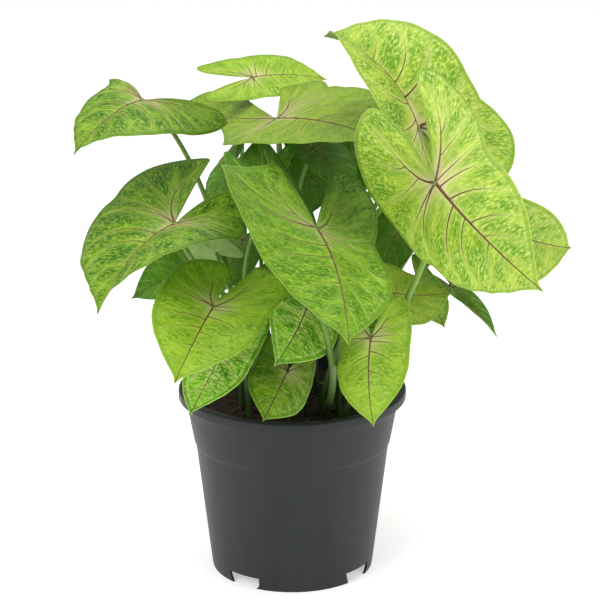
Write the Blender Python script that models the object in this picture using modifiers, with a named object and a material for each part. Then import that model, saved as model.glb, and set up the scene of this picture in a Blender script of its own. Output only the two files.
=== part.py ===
"""Arrowhead plant in its round nursery pot: the pot, the soil, and one solid for each leaf with its stalk.

The plant stands on z = 0, and the origin lies under the middle of the whole plant. All lengths below are
measured from the pot's axis, and the last lines move the plant into place. The photo is taken from -Y.
Run it with: blender --background --python part.py
"""

import math
import random

import bmesh
import bpy
import numpy as np

for old in list(bpy.data.objects):
    bpy.data.objects.remove(old, do_unlink=True)

MM = 0.001
GAP = 0.3  # free space between pieces that touch, in millimetres
POT_AXIS = (-24.4, 26.9)  # where the pot's axis stands in the finished part

# Pot, in millimetres. The lip is 130 mm across, as on a common 13 cm nursery pot.
POT_HEIGHT = 108.0
LIP_RADIUS = 65.0
LIP_DEPTH = 5.5
LIP_ROUND = 1.2
BASE_RADIUS = 46.5
WALL_TAPER = 0.119  # growth of the radius for each millimetre of height
STEP_HEIGHT = 76.0  # where the wall steps outwards
STEP_OUT = 0.7
COLLAR_TAPER = 0.18
WALL = 1.5
FLOOR_UNDER = 7.0  # the floor's underside, above the ground
FLOOR_THICK = 1.6
TURN_STEPS = 48
CUTOUT_ANGLES = (-35.0, 55.0, 145.0, 235.0)  # degrees from the -Y side towards +X
CUTOUT_WIDE = 23.0  # degrees, at the ground
DRAIN_RADIUS = 4.0
DRAIN_RING = 27.0
DRAIN_COUNT = 6

# Soil, in millimetres
SOIL_TOP = 99.0
SOIL_BUMP = 1.2
HOLE_DEPTH = 15.0
HOLE_SIDES = 10

# Leaves, in millimetres and degrees
BLADE_THICK = 0.8
STALK_POINTS = 9

# The half outline of a blade. Ahead of the junction: share of the length, share of the half width.
FRONT_OUTLINE = ((1.0, 0.0), (0.93, 0.09), (0.80, 0.42), (0.60, 0.80), (0.38, 0.98), (0.15, 1.0))
# Behind it: share of the lobe's length, and how far the margin has moved from the half width
# towards the lobe's own offset.
LOBE_OUTER = ((0.25, 0.0), (0.60, 0.16), (0.90, 0.60))
# The lobe's end and its inner edge: share of the lobe's length, share of its offset.
LOBE_INNER = ((1.0, 0.85), (0.93, 0.52), (0.62, 0.27), (0.30, 0.12))
# The same two for a lobe that ends in a point. A leaf's point value blends from round, 0, to sharp, 1.
LOBE_OUTER_SHARP = ((0.25, 0.10), (0.60, 0.46), (0.90, 0.88))
LOBE_INNER_SHARP = ((1.0, 1.0), (0.93, 0.82), (0.62, 0.46), (0.30, 0.18))
# Where each row of the mesh meets the midrib, as a share of the length.
FRONT_SPINE = (1.0, 0.93, 0.76, 0.52, 0.30, 0.10)

# One entry for each leaf. The joint is where the stalk meets the blade. Angles: roll turns the upper side to
# the left, bow arches the midrib, fold and cup lift the halves, droop lowers the lobes, twist turns the tip.
# wide, lobes: half widths and lobe lengths (left, right) as shares of the length; spread: how far each
# lobe's end stands out; point: how sharp it is; lean: how far both lobes lean to the left. root: where the
# stalk enters the soil; sway: how far its lower part leans out; crook: how far its top bends over before
# the blade. steps: mesh steps from the midrib to the margin.
LEAVES = (
    dict(
        name="front_centre", joint=(13, -97, 228), tip=(28, -194, 196), root=(18, -28), sway=(15, -93),
        roll=26, bow=27, fold=-9, cup=27, droop=21, twist=-3,
        wide=(0.32, 0.63), lobes=(0.86, 0.67), spread=(0.08, 0.30), point=(0.00, 0.94),
        lean=0.31,
    ),
    dict(
        name="right_large", joint=(72, -114, 256), tip=(123, -165, 213), root=(26, -40), sway=(40, -18),
        roll=-69, bow=41, fold=-9, cup=-34, droop=43, twist=-20,
        wide=(0.36, 0.56), lobes=(0.69, 0.70), spread=(0.29, 0.32), point=(0.00, 0.00),
        lean=0.32,
    ),
    dict(
        name="top_right", joint=(68, -33, 266), tip=(17, -5, 311), root=(15, 13), sway=(-18, -2),
        roll=22, bow=85, fold=38, cup=-27, droop=22, twist=-18,
        wide=(0.50, 0.48), lobes=(0.62, 0.61), spread=(0.35, 0.03), point=(0.39, 0.00),
        lean=-0.53,
    ),
    dict(
        name="right_back", joint=(107, 39, 194), tip=(164, 55, 174), root=(40, 13), sway=(4, -4),
        roll=-95, bow=57, fold=21, cup=-12, droop=5, twist=5,
        wide=(0.38, 0.49), lobes=(0.65, 0.65), spread=(0.36, 0.36), point=(0.50, 0.50),
        lean=0.00,
    ),
    dict(
        name="left_top", joint=(-80, -27, 280), tip=(-114, -72, 260), root=(-29, -11), sway=(1, -1),
        roll=19, bow=50, fold=12, cup=-42, droop=17, twist=-34,
        wide=(0.52, 0.41), lobes=(0.92, 0.21), spread=(0.56, 0.52), point=(0.68, 0.56),
        lean=-0.05, crook=1.2,
    ),
    dict(
        name="top_middle", joint=(-9, 32, 257), tip=(52, -79, 268), root=(-3, 15), sway=(0, 4),
        roll=-21, bow=18, fold=1, cup=1, droop=14, twist=10,
        wide=(0.30, 0.29), lobes=(0.40, 0.98), spread=(0.02, 0.80), point=(0.82, 0.00),
        lean=0.58,
    ),
    dict(
        name="left_large", joint=(-61, -74, 224), tip=(-99, -127, 190), root=(-24, -27), sway=(-1, 0),
        roll=9, bow=57, fold=19, cup=-30, droop=-12, twist=-44,
        wide=(0.49, 0.58), lobes=(0.83, 0.82), spread=(0.27, 0.13), point=(0.13, 0.86),
        lean=-0.37,
    ),
    dict(
        name="lower_left", joint=(-40, -109, 189), tip=(-58, -158, 164), root=(2, -3), sway=(-14, 3),
        roll=17, bow=28, fold=18, cup=-5, droop=3, twist=-1,
        wide=(0.53, 0.47), lobes=(0.74, 0.64), spread=(0.15, 0.21), point=(0.00, 0.00),
        lean=0.12,
    ),
    dict(
        name="low_left_small", joint=(-35, -78, 158), tip=(-54, -106, 128), root=(-13, -25), sway=(5, 4),
        roll=-1, bow=-5, fold=8, cup=-22, droop=5, twist=-6,
        wide=(0.46, 0.42), lobes=(0.65, 0.65), spread=(0.36, 0.36), point=(0.50, 0.50),
        lean=0.00,
    ),
    dict(
        name="low_centre_small", joint=(-2, -76, 143), tip=(-15, -109, 126), root=(-2, -32), sway=(-2, 0),
        roll=36, bow=19, fold=-7, cup=-20, droop=1, twist=-2,
        wide=(0.44, 0.46), lobes=(0.62, 0.64), spread=(0.34, 0.36), point=(0.49, 0.50),
        lean=-0.08,
    ),
    dict(
        name="low_centre", joint=(8, -61, 174), tip=(-9, -102, 154), root=(5, -22), sway=(-7, -5),
        roll=49, bow=43, fold=9, cup=-8, droop=5, twist=-3,
        wide=(0.44, 0.44), lobes=(0.65, 0.65), spread=(0.36, 0.36), point=(0.50, 0.50),
        lean=0.00,
    ),
    dict(
        name="low_right", joint=(42, -80, 163), tip=(43, -104, 121), root=(26, -27), sway=(-2, -4),
        roll=-27, bow=47, fold=-1, cup=-24, droop=4, twist=2,
        wide=(0.44, 0.42), lobes=(0.53, 0.59), spread=(0.31, 0.36), point=(0.49, 0.52),
        lean=-0.05,
    ),
    dict(
        name="right_middle", joint=(41, -37, 179), tip=(91, -4, 165), root=(15, -22), sway=(7, -16),
        roll=-34, bow=-36, fold=2, cup=-2, droop=5, twist=12,
        wide=(0.45, 0.43), lobes=(0.65, 0.65), spread=(0.36, 0.36), point=(0.50, 0.50),
        lean=0.00,
    ),
    dict(
        name="top_back", joint=(-24, 105, 266), tip=(21, 118, 262), root=(-29, 35), sway=(10, -15),
        roll=-22, bow=25, fold=5, cup=-10, droop=5, twist=0,
        wide=(0.48, 0.48), lobes=(0.65, 0.65), spread=(0.36, 0.36), point=(0.50, 0.50),
        lean=0.00, crook=0.3, steps=1,
    ),
    dict(
        name="right_low", joint=(72, 3, 167), tip=(86, -9, 145), root=(29, -1), sway=(2, -6),
        roll=-15, bow=25, fold=8, cup=-15, droop=5, twist=0,
        wide=(0.42, 0.42), lobes=(0.65, 0.65), spread=(0.36, 0.36), point=(0.50, 0.50),
        lean=0.00, steps=1,
    ),
    dict(
        name="right_curled", joint=(91, 30, 159), tip=(120, 34, 126), root=(33, 11), sway=(1, 3),
        roll=-75, bow=30, fold=45, cup=1, droop=5, twist=50,
        wide=(0.16, 0.16), lobes=(0.35, 0.35), spread=(0.15, 0.15), point=(0.50, 0.50),
        lean=0.00, steps=1,
    ),
    dict(
        name="right_inner", joint=(91, 6, 217), tip=(100, -6, 171), root=(41, 6), sway=(-1, -3),
        roll=-10, bow=25, fold=8, cup=-15, droop=5, twist=0,
        wide=(0.50, 0.50), lobes=(0.65, 0.65), spread=(0.36, 0.36), point=(0.50, 0.50),
        lean=0.00,
    ),
    dict(
        name="centre_inner", joint=(-10, -39, 229), tip=(10, -55, 187), root=(-16, -21), sway=(-15, -3),
        roll=0, bow=20, fold=8, cup=-15, droop=5, twist=0,
        wide=(0.46, 0.46), lobes=(0.65, 0.65), spread=(0.36, 0.36), point=(0.50, 0.50),
        lean=0.00,
    ),
    dict(
        name="left_cupped", joint=(-32, 39, 231), tip=(-48, 27, 204), root=(-18, 8), sway=(-2, -4),
        roll=0, bow=30, fold=10, cup=-30, droop=5, twist=0,
        wide=(0.45, 0.45), lobes=(0.60, 0.60), spread=(0.36, 0.36), point=(0.50, 0.50),
        lean=0.00, steps=1,
    ),
    dict(
        name="upper_inner", joint=(19, 91, 226), tip=(-15, 91, 215), root=(8, 35), sway=(2, 2),
        roll=-25, bow=30, fold=8, cup=-15, droop=5, twist=0,
        wide=(0.50, 0.50), lobes=(0.60, 0.60), spread=(0.36, 0.36), point=(0.50, 0.50),
        lean=0.00, steps=1,
    ),
    dict(
        name="left_under", joint=(-58, 14, 176), tip=(-91, -1, 160), root=(-22, -1), sway=(-3, 2),
        roll=60, bow=20, fold=25, cup=-15, droop=5, twist=0,
        wide=(0.36, 0.36), lobes=(0.65, 0.65), spread=(0.36, 0.36), point=(0.50, 0.50),
        lean=0.00, steps=1,
    ),
    dict(
        name="left_inner", joint=(-41, -11, 189), tip=(-61, -13, 202), root=(-16, -7), sway=(0, -5),
        roll=-75, bow=20, fold=8, cup=-15, droop=5, twist=0,
        wide=(0.45, 0.45), lobes=(0.50, 0.50), spread=(0.36, 0.36), point=(0.50, 0.50),
        lean=0.00, steps=1,
    ),
    dict(
        name="left_dark", joint=(-53, 33, 182), tip=(-79, 22, 173), root=(-21, 14), sway=(-3, -18),
        roll=45, bow=30, fold=8, cup=-15, droop=5, twist=0,
        wide=(0.42, 0.42), lobes=(0.65, 0.65), spread=(0.36, 0.36), point=(0.50, 0.50),
        lean=0.00, steps=1,
    ),
    dict(
        name="low_behind", joint=(9, -26, 151), tip=(14, -37, 137), root=(8, -12), sway=(-1, -4),
        roll=10, bow=30, fold=8, cup=-15, droop=5, twist=0,
        wide=(0.42, 0.42), lobes=(0.65, 0.65), spread=(0.36, 0.36), point=(0.50, 0.50),
        lean=0.00, steps=1,
    ),
    dict(
        name="back_left", joint=(-36, 77, 188), tip=(-58, 128, 157), root=(-14, 29), sway=(5, -3),
        roll=0, bow=35, fold=8, cup=-15, droop=5, twist=0,
        wide=(0.43, 0.43), lobes=(0.65, 0.65), spread=(0.36, 0.36), point=(0.50, 0.50),
        lean=0.00,
    ),
    dict(
        name="back_middle", joint=(42, 65, 258), tip=(48, 127, 231), root=(13, 24), sway=(-5, 20),
        roll=0, bow=35, fold=8, cup=-15, droop=5, twist=0,
        wide=(0.43, 0.43), lobes=(0.65, 0.65), spread=(0.36, 0.36), point=(0.50, 0.50),
        lean=0.00,
    ),
    dict(
        name="back_right", joint=(57, 80, 219), tip=(94, 125, 189), root=(23, 29), sway=(5, -5),
        roll=0, bow=35, fold=8, cup=-15, droop=5, twist=0,
        wide=(0.43, 0.43), lobes=(0.65, 0.65), spread=(0.36, 0.36), point=(0.50, 0.50),
        lean=0.00,
    ),
    dict(
        name="back_low_left", joint=(-46, 77, 153), tip=(-66, 116, 128), root=(-21, 33), sway=(0, 5),
        roll=0, bow=35, fold=8, cup=-15, droop=5, twist=0,
        wide=(0.43, 0.43), lobes=(0.65, 0.65), spread=(0.36, 0.36), point=(0.50, 0.50),
        lean=0.00, steps=1,
    ),
    dict(
        name="back_low_right", joint=(30, 88, 160), tip=(51, 131, 134), root=(-2, 39), sway=(1, -3),
        roll=0, bow=35, fold=8, cup=-15, droop=5, twist=0,
        wide=(0.43, 0.43), lobes=(0.65, 0.65), spread=(0.36, 0.36), point=(0.50, 0.50),
        lean=0.00, steps=1,
    ),
    dict(
        name="sprout", joint=(19, -19, 115), tip=(22, -27, 115), root=(20, -7), sway=(7, 0),
        roll=0, bow=40, fold=25, cup=20, droop=10, twist=1,
        wide=(0.42, 0.42), lobes=(0.50, 0.50), spread=(0.36, 0.36), point=(0.50, 0.50),
        lean=0.00, steps=1,
    ),
    dict(
        name="fill_middle", joint=(12, 12, 244), tip=(35, -1, 220), root=(6, 6), sway=(2, 4),
        roll=-10, bow=25, fold=6, cup=1, droop=20, twist=0,
        wide=(0.50, 0.50), lobes=(0.60, 0.60), spread=(0.36, 0.36), point=(0.50, 0.50),
        lean=0.00, steps=1,
    ),
    dict(
        name="fill_right", joint=(63, 29, 196), tip=(48, 19, 161), root=(19, 11), sway=(9, -2),
        roll=10, bow=25, fold=6, cup=1, droop=20, twist=0,
        wide=(0.48, 0.48), lobes=(0.60, 0.60), spread=(0.36, 0.36), point=(0.50, 0.50),
        lean=0.00, steps=1,
    ),
    dict(
        name="fill_left", joint=(-17, -4, 234), tip=(-31, -16, 204), root=(7, -4), sway=(-4, 19),
        roll=5, bow=25, fold=6, cup=1, droop=20, twist=0,
        wide=(0.50, 0.50), lobes=(0.60, 0.60), spread=(0.36, 0.36), point=(0.50, 0.50),
        lean=0.00, steps=1,
    ),
    dict(
        name="fill_low", joint=(1, -21, 186), tip=(-16, -33, 155), root=(-4, -7), sway=(-3, -9),
        roll=5, bow=25, fold=6, cup=1, droop=20, twist=0,
        wide=(0.50, 0.50), lobes=(0.60, 0.60), spread=(0.36, 0.36), point=(0.50, 0.50),
        lean=0.00, steps=1,
    ),
    dict(
        name="fill_upper", joint=(39, 32, 239), tip=(26, 17, 206), root=(26, 5), sway=(2, 1),
        roll=5, bow=25, fold=6, cup=1, droop=20, twist=0,
        wide=(0.50, 0.50), lobes=(0.60, 0.60), spread=(0.36, 0.36), point=(0.50, 0.50),
        lean=0.00, steps=1,
    ),
    dict(
        name="deep_centre", joint=(15, 38, 235), tip=(7, 24, 199), root=(5, 19), sway=(19, -6),
        roll=-10, bow=25, fold=6, cup=1, droop=20, twist=0,
        wide=(0.60, 0.60), lobes=(0.70, 0.70), spread=(0.40, 0.40), point=(0.40, 0.40),
        lean=0.00, steps=1,
    ),
    dict(
        name="deep_left", joint=(-28, 11, 191), tip=(-40, -1, 163), root=(-28, 17), sway=(0, 1),
        roll=5, bow=25, fold=6, cup=1, droop=20, twist=0,
        wide=(0.60, 0.60), lobes=(0.70, 0.70), spread=(0.40, 0.40), point=(0.40, 0.40),
        lean=0.00, steps=1,
    ),
    dict(
        name="deep_right", joint=(81, 25, 243), tip=(75, 15, 212), root=(30, 18), sway=(-2, 7),
        roll=5, bow=25, fold=6, cup=1, droop=20, twist=0,
        wide=(0.60, 0.60), lobes=(0.70, 0.70), spread=(0.40, 0.40), point=(0.40, 0.40),
        lean=0.00, steps=1,
    ),
    dict(
        name="deep_low", joint=(33, -14, 157), tip=(40, -26, 129), root=(-23, -7), sway=(-3, -27),
        roll=5, bow=25, fold=6, cup=1, droop=20, twist=0,
        wide=(0.60, 0.60), lobes=(0.70, 0.70), spread=(0.40, 0.40), point=(0.40, 0.40),
        lean=0.00, steps=1,
    ),
)


def half_blade(length, wide, lobe, spread, point):
    """One half's margin, from the tip round the lobe to the junction, and where its rows meet the midrib."""
    margin = [(u * length, v * wide * length) for u, v in FRONT_OUTLINE]
    for (back, moved), (_, sharp) in zip(LOBE_OUTER, LOBE_OUTER_SHARP):
        moved += (sharp - moved) * point
        bulge = 0.036 * math.sin(math.pi * back) * (1 - point)
        out = 0.98 * wide * (1 - moved) + spread * moved + bulge
        margin.append((-back * lobe * length, out * length))
    for (back, out), (_, sharp) in zip(LOBE_INNER, LOBE_INNER_SHARP):
        out += (sharp - out) * point
        margin.append((-back * lobe * length, out * spread * length))
    margin.append((0.0, 0.0))
    spine = [s * length for s in FRONT_SPINE] + [0.0] * (len(margin) - len(FRONT_SPINE))
    return np.array(margin), np.array(spine)


def blade_length(leaf):
    """Length of the midrib from the junction to the tip, along its arc."""
    chord = np.linalg.norm(np.subtract(leaf["tip"], leaf["joint"]))
    half = math.radians(leaf["bow"]) / 2
    return chord * half / math.sin(half)


def leaf_axes(leaf):
    """Unit vectors of the chord, of the blade's upper side and of its left side, seen from above."""
    along = np.subtract(leaf["tip"], leaf["joint"]).astype(float)
    along /= np.linalg.norm(along)
    up = np.array((0.0, 0.0, 1.0)) - along * along[2]
    up /= np.linalg.norm(up)
    left = np.cross(up, along)
    roll = math.radians(leaf["roll"])
    up = up * math.cos(roll) + left * math.sin(roll)
    return along, up, np.cross(up, along)


def bend_blade(leaf, flat):
    """Moves flat points (x along the midrib, y to the left) onto the leaf's bowed and folded blade."""
    along, up, left = leaf_axes(leaf)
    length = blade_length(leaf)
    x = flat[:, 0]
    y = flat[:, 1]
    bow = math.radians(leaf["bow"])
    start = bow / 2
    ahead = np.maximum(x, 0)
    behind = np.minimum(x, 0)
    pitch = start - bow * ahead / length
    run = (math.sin(start) - np.sin(pitch)) * length / bow
    rise = (np.cos(pitch) - math.cos(start)) * length / bow
    droop = math.radians(leaf["droop"]) / length
    back_pitch = start + droop * behind
    run += (np.sin(back_pitch) - math.sin(start)) / droop
    rise += (math.cos(start) - np.cos(back_pitch)) / droop
    pitch = np.where(x < 0, back_pitch, pitch)
    centre = np.array(leaf["joint"]) + np.outer(run, along) + np.outer(rise, up)
    out = np.outer(np.cos(pitch), up) - np.outer(np.sin(pitch), along)
    twist = np.radians(leaf["twist"]) * x / length
    side = left * np.cos(twist)[:, None] - out * np.sin(twist)[:, None]
    out = out * np.cos(twist)[:, None] + left * np.sin(twist)[:, None]
    fold = math.radians(leaf["fold"])
    cup = math.radians(leaf["cup"]) / (0.42 * length)
    reach = np.abs(y)
    across = (np.sin(fold + cup * reach) - math.sin(fold)) / cup * np.sign(y)
    lift = (math.cos(fold) - np.cos(fold + cup * reach)) / cup
    return centre + side * across[:, None] + out * lift[:, None]


def blade_mesh(leaf, steps):
    """Points and triangles of the blade's middle surface. Both halves share the points on the midrib."""
    length = blade_length(leaf)
    flat = []
    triangles = []
    for side, *shape in zip((1, -1), leaf["wide"], leaf["lobes"], leaf["spread"], leaf["point"]):
        margin, spine = half_blade(length, *shape)
        rows = []
        for i, (edge, middle) in enumerate(zip(margin, spine)):
            row = []
            for k in range(steps + 1):
                share = k / steps
                x = middle + (edge[0] - middle) * share
                y = side * edge[1] * share + leaf["lean"] * max(-x, 0.0)
                point = (round(x, 6), round(y, 6))
                if point not in flat:
                    flat.append(point)
                row.append(flat.index(point))
            rows.append(row)
        for near, far in zip(rows, rows[1:]):
            for k in range(steps):
                corners = (near[k], near[k + 1], far[k + 1], far[k])[::side]
                for triangle in (corners[:3], (corners[0], corners[2], corners[3])):
                    if len(set(triangle)) == 3:
                        triangles.append(triangle)
    return bend_blade(leaf, np.array(flat)), triangles


def stalk_line(leaf, points):
    """The stalk's middle line: upright in its hole, then one smooth curve up to the junction."""
    root_x, root_y = leaf["root"]
    foot = np.array((root_x, root_y, SOIL_TOP + 2.0))
    along, up, left = leaf_axes(leaf)
    end = bend_blade(leaf, np.array([(1.2, 0.0)]))[0]
    arrive = 0.6 * up + leaf.get("crook", 0.3) * along + np.array((0.0, 0.0, 0.6))
    arrive /= np.linalg.norm(arrive)
    reach = np.linalg.norm(end - foot)
    sway_x, sway_y = leaf.get("sway", (0.0, 0.0))
    first = foot + np.array((sway_x, sway_y, 0.45 * reach))
    second = end - 0.3 * reach * arrive
    line = [(root_x, root_y, SOIL_TOP - HOLE_DEPTH + GAP)]
    for i in range(points):
        t = i / (points - 1)
        s = 1 - t
        line.append(s**3 * foot + 3 * s * s * t * first + 3 * s * t * t * second + t**3 * end)
    return np.array(line)


def stalk_radius(leaf):
    """Radius at the soil and at the blade: a larger leaf has a thicker stalk."""
    size = blade_length(leaf)
    return 1.0 + 0.009 * size, 0.8 + 0.006 * size


def material(name, colour, roughness):
    """One Principled material. The colour is linear RGB."""
    made = bpy.data.materials.new(name)
    made.use_nodes = True
    shader = made.node_tree.nodes["Principled BSDF"]
    shader.inputs["Base Color"].default_value = (*colour, 1.0)
    shader.inputs["Roughness"].default_value = roughness
    shader.inputs["Metallic"].default_value = 0.0
    made.diffuse_color = (*colour, 1.0)
    return made


def face_outwards(mesh):
    """Merges points that lie on each other and turns all faces of a closed mesh outwards."""
    clean = bmesh.new()
    clean.from_mesh(mesh)
    bmesh.ops.remove_doubles(clean, verts=clean.verts, dist=0.00001)
    bmesh.ops.recalc_face_normals(clean, faces=clean.faces)
    clean.to_mesh(mesh)
    clean.free()


def add_mesh(name, points, faces, collection):
    """A mesh object from points in millimetres."""
    mesh = bpy.data.meshes.new(name)
    mesh.from_pydata([tuple(float(c) * MM for c in p) for p in points], [], faces)
    mesh.update()
    made = bpy.data.objects.new(name, mesh)
    collection.objects.link(made)
    return made


def turned(name, profile, steps, collection):
    """Turns a closed (radius, height) profile, given at +X from top to bottom on its outer side, round Z."""
    edges = [(i, (i + 1) % len(profile)) for i in range(len(profile))]
    mesh = bpy.data.meshes.new(name)
    mesh.from_pydata([(r * MM, 0.0, z * MM) for r, z in profile], edges, [])
    made = bpy.data.objects.new(name, mesh)
    collection.objects.link(made)
    screw = made.modifiers.new("turn", "SCREW")
    screw.axis = "Z"
    screw.angle = math.tau
    screw.steps = steps
    screw.render_steps = steps
    screw.use_merge_vertices = True
    screw.merge_threshold = 0.00005
    return made


def bake(made):
    """Replaces an object's mesh by its evaluated one, with no modifiers left."""
    graph = bpy.context.evaluated_depsgraph_get()
    mesh = bpy.data.meshes.new_from_object(made.evaluated_get(graph))
    made.modifiers.clear()
    made.data = mesh
    return made


def prism(name, angle, corners, inner, outer, collection):
    """A cutter that runs outwards at an angle from the -Y side: corners are (sideways, height) pairs."""
    turn = math.radians(angle)
    outwards = np.array((math.sin(turn), -math.cos(turn), 0.0))
    sideways = np.array((math.cos(turn), math.sin(turn), 0.0))
    points = []
    for reach in (inner, outer):
        for across, height in corners:
            points.append(outwards * reach + sideways * across + np.array((0.0, 0.0, height)))
    count = len(corners)
    faces = [tuple(range(count)), tuple(range(2 * count - 1, count - 1, -1))]
    for i in range(count):
        j = (i + 1) % count
        faces.append((i, i + count, j + count, j))
    made = add_mesh(name, points, faces, collection)
    face_outwards(made.data)
    return made


def upright_cylinder(name, x, y, low, high, radius, sides, collection):
    """A plain upright cylinder whose flats, not its corners, lie at the radius."""
    corner = radius / math.cos(math.pi / sides)
    ring = [(math.cos(math.tau * i / sides), math.sin(math.tau * i / sides)) for i in range(sides)]
    points = [(x + corner * c, y + corner * s, z) for z in (low, high) for c, s in ring]
    faces = [tuple(range(sides - 1, -1, -1)), tuple(range(sides, 2 * sides))]
    for i in range(sides):
        j = (i + 1) % sides
        faces.append((i, j, j + sides, i + sides))
    return add_mesh(name, points, faces, collection)


def join_by_boolean(made, operation, collection, solver):
    """Adds or cuts all objects of a collection, applies it, and removes them."""
    modifier = made.modifiers.new(operation.lower(), "BOOLEAN")
    modifier.operation = operation
    modifier.operand_type = "COLLECTION"
    modifier.collection = collection
    modifier.solver = solver
    bpy.context.view_layer.update()
    bake(made)
    for helper in list(collection.objects):
        bpy.data.objects.remove(helper, do_unlink=True)
    bpy.data.collections.remove(collection)


def helper_collection(name):
    made = bpy.data.collections.new(name)
    bpy.context.scene.collection.children.link(made)
    made.hide_render = True
    return made


# Materials
scene_root = bpy.context.scene.collection
pot_plastic = material("pot_plastic", (0.050, 0.056, 0.053), 0.5)
peat = material("peat", (0.030, 0.018, 0.010), 0.95)
leaf_green = material("leaf_green", (0.33, 0.55, 0.10), 0.45)

# Pot: one turned wall with its lip and floor, then the cut-outs and the drain holes
inner_floor = FLOOR_UNDER + FLOOR_THICK


def wall_radius(height):
    """Outer radius of the wall below the lip. It steps out at STEP_HEIGHT."""
    if height <= STEP_HEIGHT:
        return BASE_RADIUS + WALL_TAPER * height
    shoulder = BASE_RADIUS + WALL_TAPER * STEP_HEIGHT + STEP_OUT
    return shoulder + COLLAR_TAPER * (height - STEP_HEIGHT)


lip_under = POT_HEIGHT - LIP_DEPTH
lip_arc = []
for i in range(5):
    turn = math.pi / 2 * i / 4
    lip_arc.append(
        (
            LIP_RADIUS - LIP_ROUND + LIP_ROUND * math.sin(turn),
            POT_HEIGHT - LIP_ROUND + LIP_ROUND * math.cos(turn),
        )
    )
mouth_radius = wall_radius(lip_under) - WALL
pot_profile = lip_arc + [
    (LIP_RADIUS, lip_under + 0.6),
    (LIP_RADIUS - 0.6, lip_under),
    (wall_radius(lip_under), lip_under),
    (wall_radius(STEP_HEIGHT + 1.2), STEP_HEIGHT + 1.2),
    (wall_radius(STEP_HEIGHT), STEP_HEIGHT),
    (BASE_RADIUS, 0.0),
    (BASE_RADIUS - WALL, 0.0),
    (wall_radius(FLOOR_UNDER) - WALL, FLOOR_UNDER),
    (0.0, FLOOR_UNDER),
    (0.0, inner_floor),
    (wall_radius(inner_floor) - WALL, inner_floor),
    (wall_radius(STEP_HEIGHT) - WALL, STEP_HEIGHT),
    (wall_radius(STEP_HEIGHT + 1.2) - WALL, STEP_HEIGHT + 1.2),
    (mouth_radius, lip_under),
    (mouth_radius, POT_HEIGHT - LIP_ROUND),
    (mouth_radius + LIP_ROUND, POT_HEIGHT),
]
pot = bake(turned("pot", pot_profile, TURN_STEPS, scene_root))
pot_cutters = helper_collection("pot_cutters")
half_foot_gap = BASE_RADIUS * math.sin(math.radians(CUTOUT_WIDE / 2))
cutout = [
    (-half_foot_gap, -2.0),
    (half_foot_gap - 2.5, -2.0),
    (half_foot_gap - 2.5, 0.0),
    (half_foot_gap - 1.0, 1.0),
    (half_foot_gap, 3.0),
    (half_foot_gap, FLOOR_UNDER),
    (-half_foot_gap - 2.5, FLOOR_UNDER),
    (-half_foot_gap, 0.0),
]
for i, angle in enumerate(CUTOUT_ANGLES):
    prism(f"cutout_{i}", angle, cutout, 30.0, 60.0, pot_cutters)
for i in range(DRAIN_COUNT):
    turn = math.tau * i / DRAIN_COUNT
    upright_cylinder(
        f"drain_{i}",
        DRAIN_RING * math.cos(turn),
        DRAIN_RING * math.sin(turn),
        FLOOR_UNDER - 2.0,
        inner_floor + 2.0,
        DRAIN_RADIUS,
        12,
        pot_cutters,
    )
join_by_boolean(pot, "DIFFERENCE", pot_cutters, "EXACT")
pot.data.materials.clear()
pot.data.materials.append(pot_plastic)

# Soil: turned to the pot's inner shape, its top pushed into low lumps, then a hole for each stalk
random.seed(4)
soil_edge = wall_radius(SOIL_TOP) - WALL - GAP
soil_profile = [
    (0.0, SOIL_TOP),
    (soil_edge * 0.3, SOIL_TOP),
    (soil_edge * 0.55, SOIL_TOP),
    (soil_edge * 0.8, SOIL_TOP),
    (soil_edge, SOIL_TOP),
    (wall_radius(STEP_HEIGHT + 1.2) - WALL - GAP, STEP_HEIGHT + 1.2),
    (wall_radius(STEP_HEIGHT) - WALL - GAP, STEP_HEIGHT),
    (wall_radius(inner_floor) - WALL - GAP, inner_floor + GAP),
    (0.0, inner_floor + GAP),
]
soil = bake(turned("soil", soil_profile, TURN_STEPS, scene_root))
for vertex in soil.data.vertices:
    if vertex.co.z > (SOIL_TOP - 0.5) * MM and vertex.co.xy.length < (soil_edge - 1.0) * MM:
        vertex.co.z += random.uniform(-SOIL_BUMP, SOIL_BUMP) * MM
holes = helper_collection("stalk_holes")
for leaf in LEAVES:
    root_x, root_y = leaf["root"]
    hole_radius = stalk_radius(leaf)[0] + GAP
    low = SOIL_TOP - HOLE_DEPTH
    upright_cylinder(
        "hole_" + leaf["name"], root_x, root_y, low, SOIL_TOP + 5.0, hole_radius, HOLE_SIDES, holes
    )
join_by_boolean(soil, "DIFFERENCE", holes, "EXACT")
soil.data.materials.clear()
soil.data.materials.append(peat)

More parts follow.
